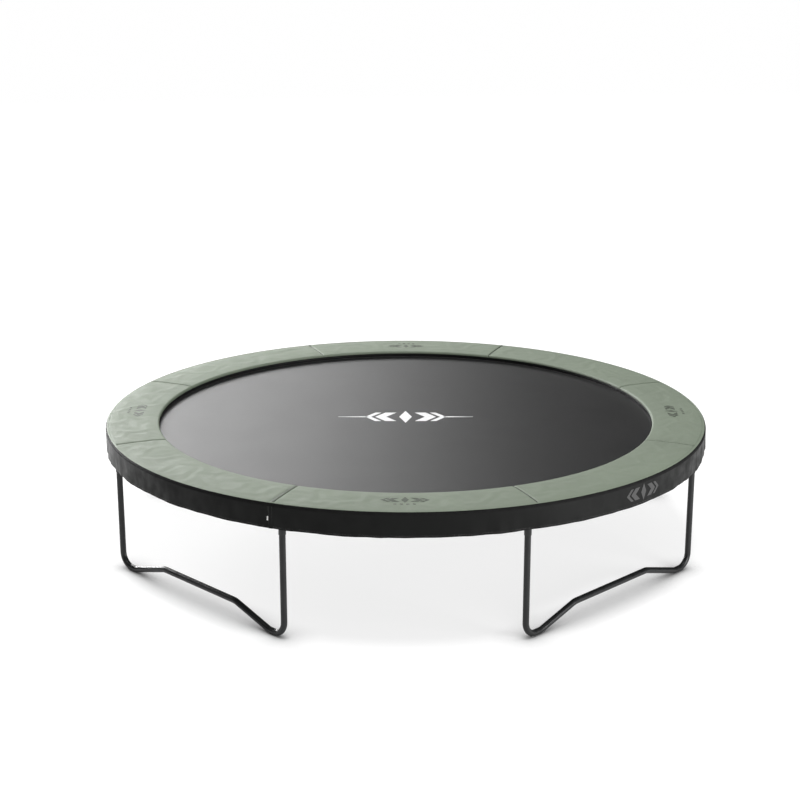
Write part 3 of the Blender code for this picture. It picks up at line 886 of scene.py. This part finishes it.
def build_skirt_closure(cloth, stitching, white):
    """Overlapping strip where the skirt closes, and the care tag beside it."""
    half = math.degrees(0.015 / SKIRT_R)
    profile = ((-1, 0.0004), (-0.93, 0.0016), (-0.4, 0.0018), (0.4, 0.0018), (0.93, 0.0016), (1, 0.0004),
               (1, -0.0004), (-1, -0.0004))
    heights = [SKIRT_BOTTOM + (SKIRT_SHOULDER + 0.002 - SKIRT_BOTTOM) * i / 14 for i in range(15)]
    shape = Shape()
    shape.add_rings([[skirt_point(CLOSING_SEAM + half * s, SKIRT_R + lift, height) for s, lift in profile]
                     for height in heights])
    for s in (-0.8, 0.8):
        path = [skirt_point(CLOSING_SEAM + half * s, SKIRT_R + 0.0020, height) for height in heights]
        stitch_row(shape, path, length=0.006, gap=0.004, radius=0.0005, slot=1)
    strip = shape.finish("skirt_closing_strip", [cloth, stitching], sharp=60)
    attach(strip, "frame")

    tag = Shape()
    place = CLOSING_SEAM - half * 1.25
    rings = []
    for height in (TAG_LOW, TAG_LOW + 0.009, TAG_LOW + 0.018, TAG_HIGH):
        curl = 0.0012 + 0.0035 * ((TAG_HIGH - height) / (TAG_HIGH - TAG_LOW)) ** 2
        spots = [(-0.30, curl), (0.30, curl), (0.30, curl + 0.0008), (-0.30, curl + 0.0008)]
        rings.append([skirt_point(place + half * s, SKIRT_R + lift, height) for s, lift in spots])
    tag.add_rings(rings)
    piece = tag.finish("care_tag", [white], sharp=30)
    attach(piece, "frame")


# --- straps -----------------------------------------------------------
def build_straps(material, plastic):
    """Webbing loop round the rail, with a plastic slide on its inner side."""
    low, high = RAIL_TUBE_R + 0.0009, RAIL_TUBE_R + 0.0009 + STRAP_THICKNESS
    loop = []
    for k in range(28):
        turn = TAU * k / 28
        loop.append([(RAIL_R + r * math.cos(turn), side * STRAP_WIDTH / 2, RAIL_Z + r * math.sin(turn))
                     for r, side in ((low, -1), (high, -1), (high, 1), (low, 1))])
    slide_x = RAIL_R - high - 0.0022
    bar_r = [0.0012, 0.0019, 0.0019, 0.0012]
    for i in range(BANKS):
        degrees = i * PANEL_DEGREES
        shape = Shape()
        shape.add_rings(list(turned(loop, degrees)), closed=True)
        strap = shape.finish(f"strap_loop_{i + 1}", [material], sharp=30)
        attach(strap, "frame")
        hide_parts(f"pad_strap_{i + 1}")

        slide = Shape()
        for z in (-0.016, -0.0055, 0.0055, 0.016):
            bar = [(slide_x, y, RAIL_Z + z) for y in (-0.0165, -0.0155, 0.0155, 0.0165)]
            slide.add_tube(turned(bar, degrees), bar_r, 10)
        for y in (-0.0158, 0.0158):
            bar = [(slide_x, y, RAIL_Z + z) for z in (-0.0175, -0.0165, 0.0165, 0.0175)]
            slide.add_tube(turned(bar, degrees), bar_r, 10, up=(1, 0, 0))
        buckle = slide.finish(f"strap_slide_{i + 1}", [plastic], sharp=50)
        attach(buckle, "frame")


# --- printed marks ----------------------------------------------------
MARK_TOP = 0.0009               # how far the print stands proud of its surface
MARK_UNDER = 0.00005


def emblem_outlines():
    """Generic mark in a unit frame: a diamond between pairs of swept bars."""
    half = [[(0.11, 0.30), (0.24, 0.30), (0.36, 0.0), (0.24, -0.30), (0.11, -0.30), (0.23, 0.0)],
            [(0.29, 0.30), (0.36, 0.30), (0.48, 0.0), (0.36, -0.30), (0.29, -0.30), (0.41, 0.0)]]
    outlines = [[(-0.075, 0.0), (0.0, 0.42), (0.075, 0.0), (0.0, -0.42)]]
    for outline in half:
        outlines.append(outline)
        outlines.append([(-x, y) for x, y in reversed(outline)])
    return outlines


def side_lines():
    """Thin tapered lines that run out from both sides of the mark."""
    line = [(0.45, 0.035), (0.80, 0.006), (0.80, -0.006), (0.45, -0.035)]
    return [line, [(-x, y) for x, y in reversed(line)]]


def dashes():
    """A short row of small bars."""
    return [[(x, 0.5), (x + 0.12, 0.5), (x + 0.12, -0.5), (x, -0.5)] for x in (-0.45, -0.20, 0.05, 0.30)]


def filled(outline):
    """Points and triangles that fill an outline, close enough to follow a wrinkled surface."""
    spacing = 0.035
    edge = []
    for i, (x, y) in enumerate(outline):
        nx, ny = outline[(i + 1) % len(outline)]
        count = max(1, int(math.hypot(nx - x, ny - y) / spacing))
        edge += [(x + (nx - x) * k / count, y + (ny - y) * k / count) for k in range(count)]
    low_x, high_x = min(p[0] for p in edge), max(p[0] for p in edge)
    low_y, high_y = min(p[1] for p in edge), max(p[1] for p in edge)
    inner = [(low_x + (i + 0.5) * spacing, low_y + (j + 0.5) * spacing)
             for i in range(int((high_x - low_x) / spacing))
             for j in range(int((high_y - low_y) / spacing))]
    points = [Vector(p) for p in edge + inner]
    loop = [(i, (i + 1) % len(edge)) for i in range(len(edge))]
    points, _, faces, *_ = geometry.delaunay_2d_cdt(points, loop, [], 1, 1e-5)
    return points, faces


def build_mark(name, outlines, place, material, follow=False):
    """Prints outlines on a surface; place turns unit (x, y) into a point and a normal."""
    shape = Shape()
    for outline in outlines:
        flat, faces = filled(outline)
        spots = [place(p.x, p.y) for p in flat]
        count = len(flat)
        edges = [(face[i], face[(i + 1) % len(face)]) for face in faces for i in range(len(face))]
        known = set(edges)
        sides = [(b, a, a + count, b + count) for a, b in edges if (b, a) not in known]
        shape.add([spot + normal * lift for lift in (MARK_TOP, MARK_UNDER) for spot, normal in spots],
                  list(faces) + [tuple(i + count for i in reversed(face)) for face in faces] + sides)
    mark = shape.finish(name, [material], sharp=30)
    if follow:
        follow_bounce(mark)
    else:
        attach(mark, "frame")


def build_marks(white, dark, grey, panels):
    def on_mat(x, y, wide=0.62, deep=0.36):
        return seen_from_camera(x * wide, y * deep + 0.02, MAT_TOP), Vector((0, 0, 1))

    build_mark("mat_centre_mark", emblem_outlines() + side_lines(), on_mat, white, follow=True)
    for k in range(1, BANKS, 2):
        degrees = k * PANEL_DEGREES
        tree = tree_of(panels[k])
        out, side = polar(1, degrees, 0), polar(1, degrees + 90, 0)

        def on_pad(x, y, radius=1.950, wide=0.32, high=0.115):
            spot = out * (radius - y * high) + side * (x * wide)
            height = ray_height(tree, spot.x, spot.y, 1.2)
            return Vector((spot.x, spot.y, height or PAD_OUTER_TOP)), Vector((0, 0, 1))

        build_mark(f"pad_mark_{k + 1}", emblem_outlines(), on_pad, dark)
        build_mark(f"pad_size_mark_{k + 1}", dashes(), lambda x, y: on_pad(x, y, 2.030, 0.16, 0.016),
                   dark)

    def on_skirt(x, y, middle=0.835, wide=0.35, high=0.135):
        degrees = math.degrees(x * wide / SKIRT_R)
        return skirt_point(degrees, SKIRT_R + 0.0003, middle + y * high), polar(1, degrees, 0)

    build_mark("skirt_mark", emblem_outlines(), on_skirt, grey)


# --- camera, lights and floor -----------------------------------------
def make_camera():
    camera = bpy.data.objects.new("camera", bpy.data.cameras.new("camera"))
    bpy.context.scene.collection.objects.link(camera)
    target = seen_from_camera(VIEW_SIDE_SHIFT, 0, VIEW_TARGET_Z)
    offset = seen_from_camera(0, -VIEW_DISTANCE * math.cos(VIEW_PITCH),
                              VIEW_DISTANCE * math.sin(VIEW_PITCH))
    camera.location = target + offset
    camera.rotation_euler = (-offset).to_track_quat("-Z", "Y").to_euler()
    camera.data.lens = VIEW_LENS
    camera.data.sensor_width = 36
    camera.data.clip_end = 600
    bpy.context.scene.camera = camera


def make_softbox(name, place, width, height, power):
    """Area light that faces the middle of the mat."""
    light = bpy.data.lights.new(name, "AREA")
    light.shape = "RECTANGLE"
    light.size, light.size_y = width, height
    light.energy = power
    box = bpy.data.objects.new(name, light)
    bpy.context.scene.collection.objects.link(box)
    box.location = place
    box.rotation_euler = (Vector((0, 0, MAT_TOP)) - place).to_track_quat("-Z", "Y").to_euler()


def make_lights():
    overhead = bpy.data.lights.new("overhead", "SUN")
    overhead.energy = 1.75
    overhead.angle = math.radians(16)
    lamp = bpy.data.objects.new("overhead", overhead)
    bpy.context.scene.collection.objects.link(lamp)
    lamp.rotation_euler = seen_from_camera(0, 0.14, -1).to_track_quat("-Z", "Y").to_euler()
    make_softbox("rear_left_softbox", seen_from_camera(-4.9, 28.0, 12.6), 8.0, 10.0, 1530)
    make_softbox("far_left_softbox", seen_from_camera(-9.5, 11.5, 6.2), 9.0, 6.0, 3100)
    make_softbox("left_softbox", seen_from_camera(-6.1, 5.1, 0.85), 3.0, 1.2, 430)
    make_softbox("right_softbox", seen_from_camera(6.3, -4.9, 1.7), 3.0, 1.6, 430)
    world = bpy.data.worlds.new("studio")
    world.use_nodes = True
    nodes, links = world.node_tree.nodes, world.node_tree.links
    ramp = nodes.new("ShaderNodeValToRGB")
    for point, (position, value) in zip(ramp.color_ramp.elements, ((0.55, 0.03), (0.95, 0.45))):
        point.position, point.color = position, (value, value, value, 1)
    split = nodes.new("ShaderNodeSeparateXYZ")
    links.new(nodes.new("ShaderNodeTexCoord").outputs["Generated"], split.inputs[0])
    links.new(split.outputs["Z"], ramp.inputs["Fac"])
    links.new(ramp.outputs["Color"], nodes["Background"].inputs["Color"])
    bpy.context.scene.world = world
    bpy.context.scene.view_settings.view_transform = "Standard"


def make_floor():
    """Pale floor that glows a little, so that shadows on it stay pale; ambient occlusion dims the glow
    near the legs, a painted contact shadow under the tubes.
    """
    shape = Shape()
    half, level = 560, -0.0005
    corners = ((-half, -half), (half, -half), (half, half), (-half, half))
    shape.add([(x, y, level) for x, y in corners], [(0, 1, 2, 3)])
    surface = Surface("pale_floor", (0.3, 0.3, 0.3), 1.0, specular=0.0)
    surface.set("Emission Strength", 0.77)
    # Painted shadow: the glow is dimmed by ambient occlusion, cubed, so the floor darkens right under the
    # leg tubes.
    painted_shadow_occlusion = surface.node("ShaderNodeAmbientOcclusion", samples=8)
    painted_shadow_occlusion.inputs["Distance"].default_value = 0.22
    shade = surface.math("POWER", painted_shadow_occlusion.outputs["AO"], 3.0)
    glow_with_painted_shadow = surface.ramp(shade, [(0.0, 0.0), (1.0, 1.0)])
    surface.links.new(glow_with_painted_shadow, surface.shader.inputs["Emission Color"])
    shape.finish("floor", [surface.material])


# --- assembly ---------------------------------------------------------
def main():
    make_camera()
    make_lights()
    make_floor()
    black_web = webbing("black_webbing", (0.018, 0.018, 0.018))
    grey_thread = thread("grey_thread", (0.10, 0.10, 0.10))
    powder = powder_coat()
    green = pad_vinyl()
    under = dark_vinyl("pad_underside", (0.012, 0.012, 0.012))
    skirt_cloth = dark_vinyl("skirt_vinyl_black", (0.0045, 0.0048, 0.0045))
    binding = dark_vinyl("seam_binding", (0.060, 0.068, 0.054))
    wide_binding = dark_vinyl("closing_seam_binding", (0.082, 0.100, 0.072), 0.2)
    green_thread = thread("green_thread", (0.14, 0.17, 0.12))

    build_mat(mat_mesh())
    build_mat_edge(black_web, grey_thread)
    build_springs(zinc("spring_zinc"), powder)
    build_rails(powder)
    build_t_joints(powder)
    build_legs(powder)
    bolt_zinc = zinc("bolt_zinc")
    for i in range(len(post_directions())):
        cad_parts[f"leg_bolt_{i + 1}"].material_slots[0].material = bolt_zinc
    made = [build_pad_panel(i, [green, under]) for i in range(BANKS)]
    panels = [panel for panel, held in made]
    settle(panels, [held for panel, held in made])
    # Painted shade: a dark strip that fills the gap under the pad's inner edge.
    build_pad_shade_edging(under)
    for i in range(BANKS):
        build_seam(i, [wide_binding if is_closing_seam(i) else binding, green_thread])
    build_skirt(skirt_cloth, green, webbing("skirt_top_tape", (0.008, 0.008, 0.008), 0.1), grey_thread)
    build_skirt_closure(skirt_cloth, grey_thread, plain_print("tag_white", (0.8, 0.8, 0.78)))
    build_straps(black_web, dark_vinyl("slide_plastic", (0.02, 0.02, 0.02)))
    build_marks(plain_print("print_white", (0.80, 0.80, 0.80)),
                plain_print("print_dark", (0.075, 0.088, 0.067)),
                plain_print("print_grey", (0.055, 0.055, 0.055)), panels)


main()
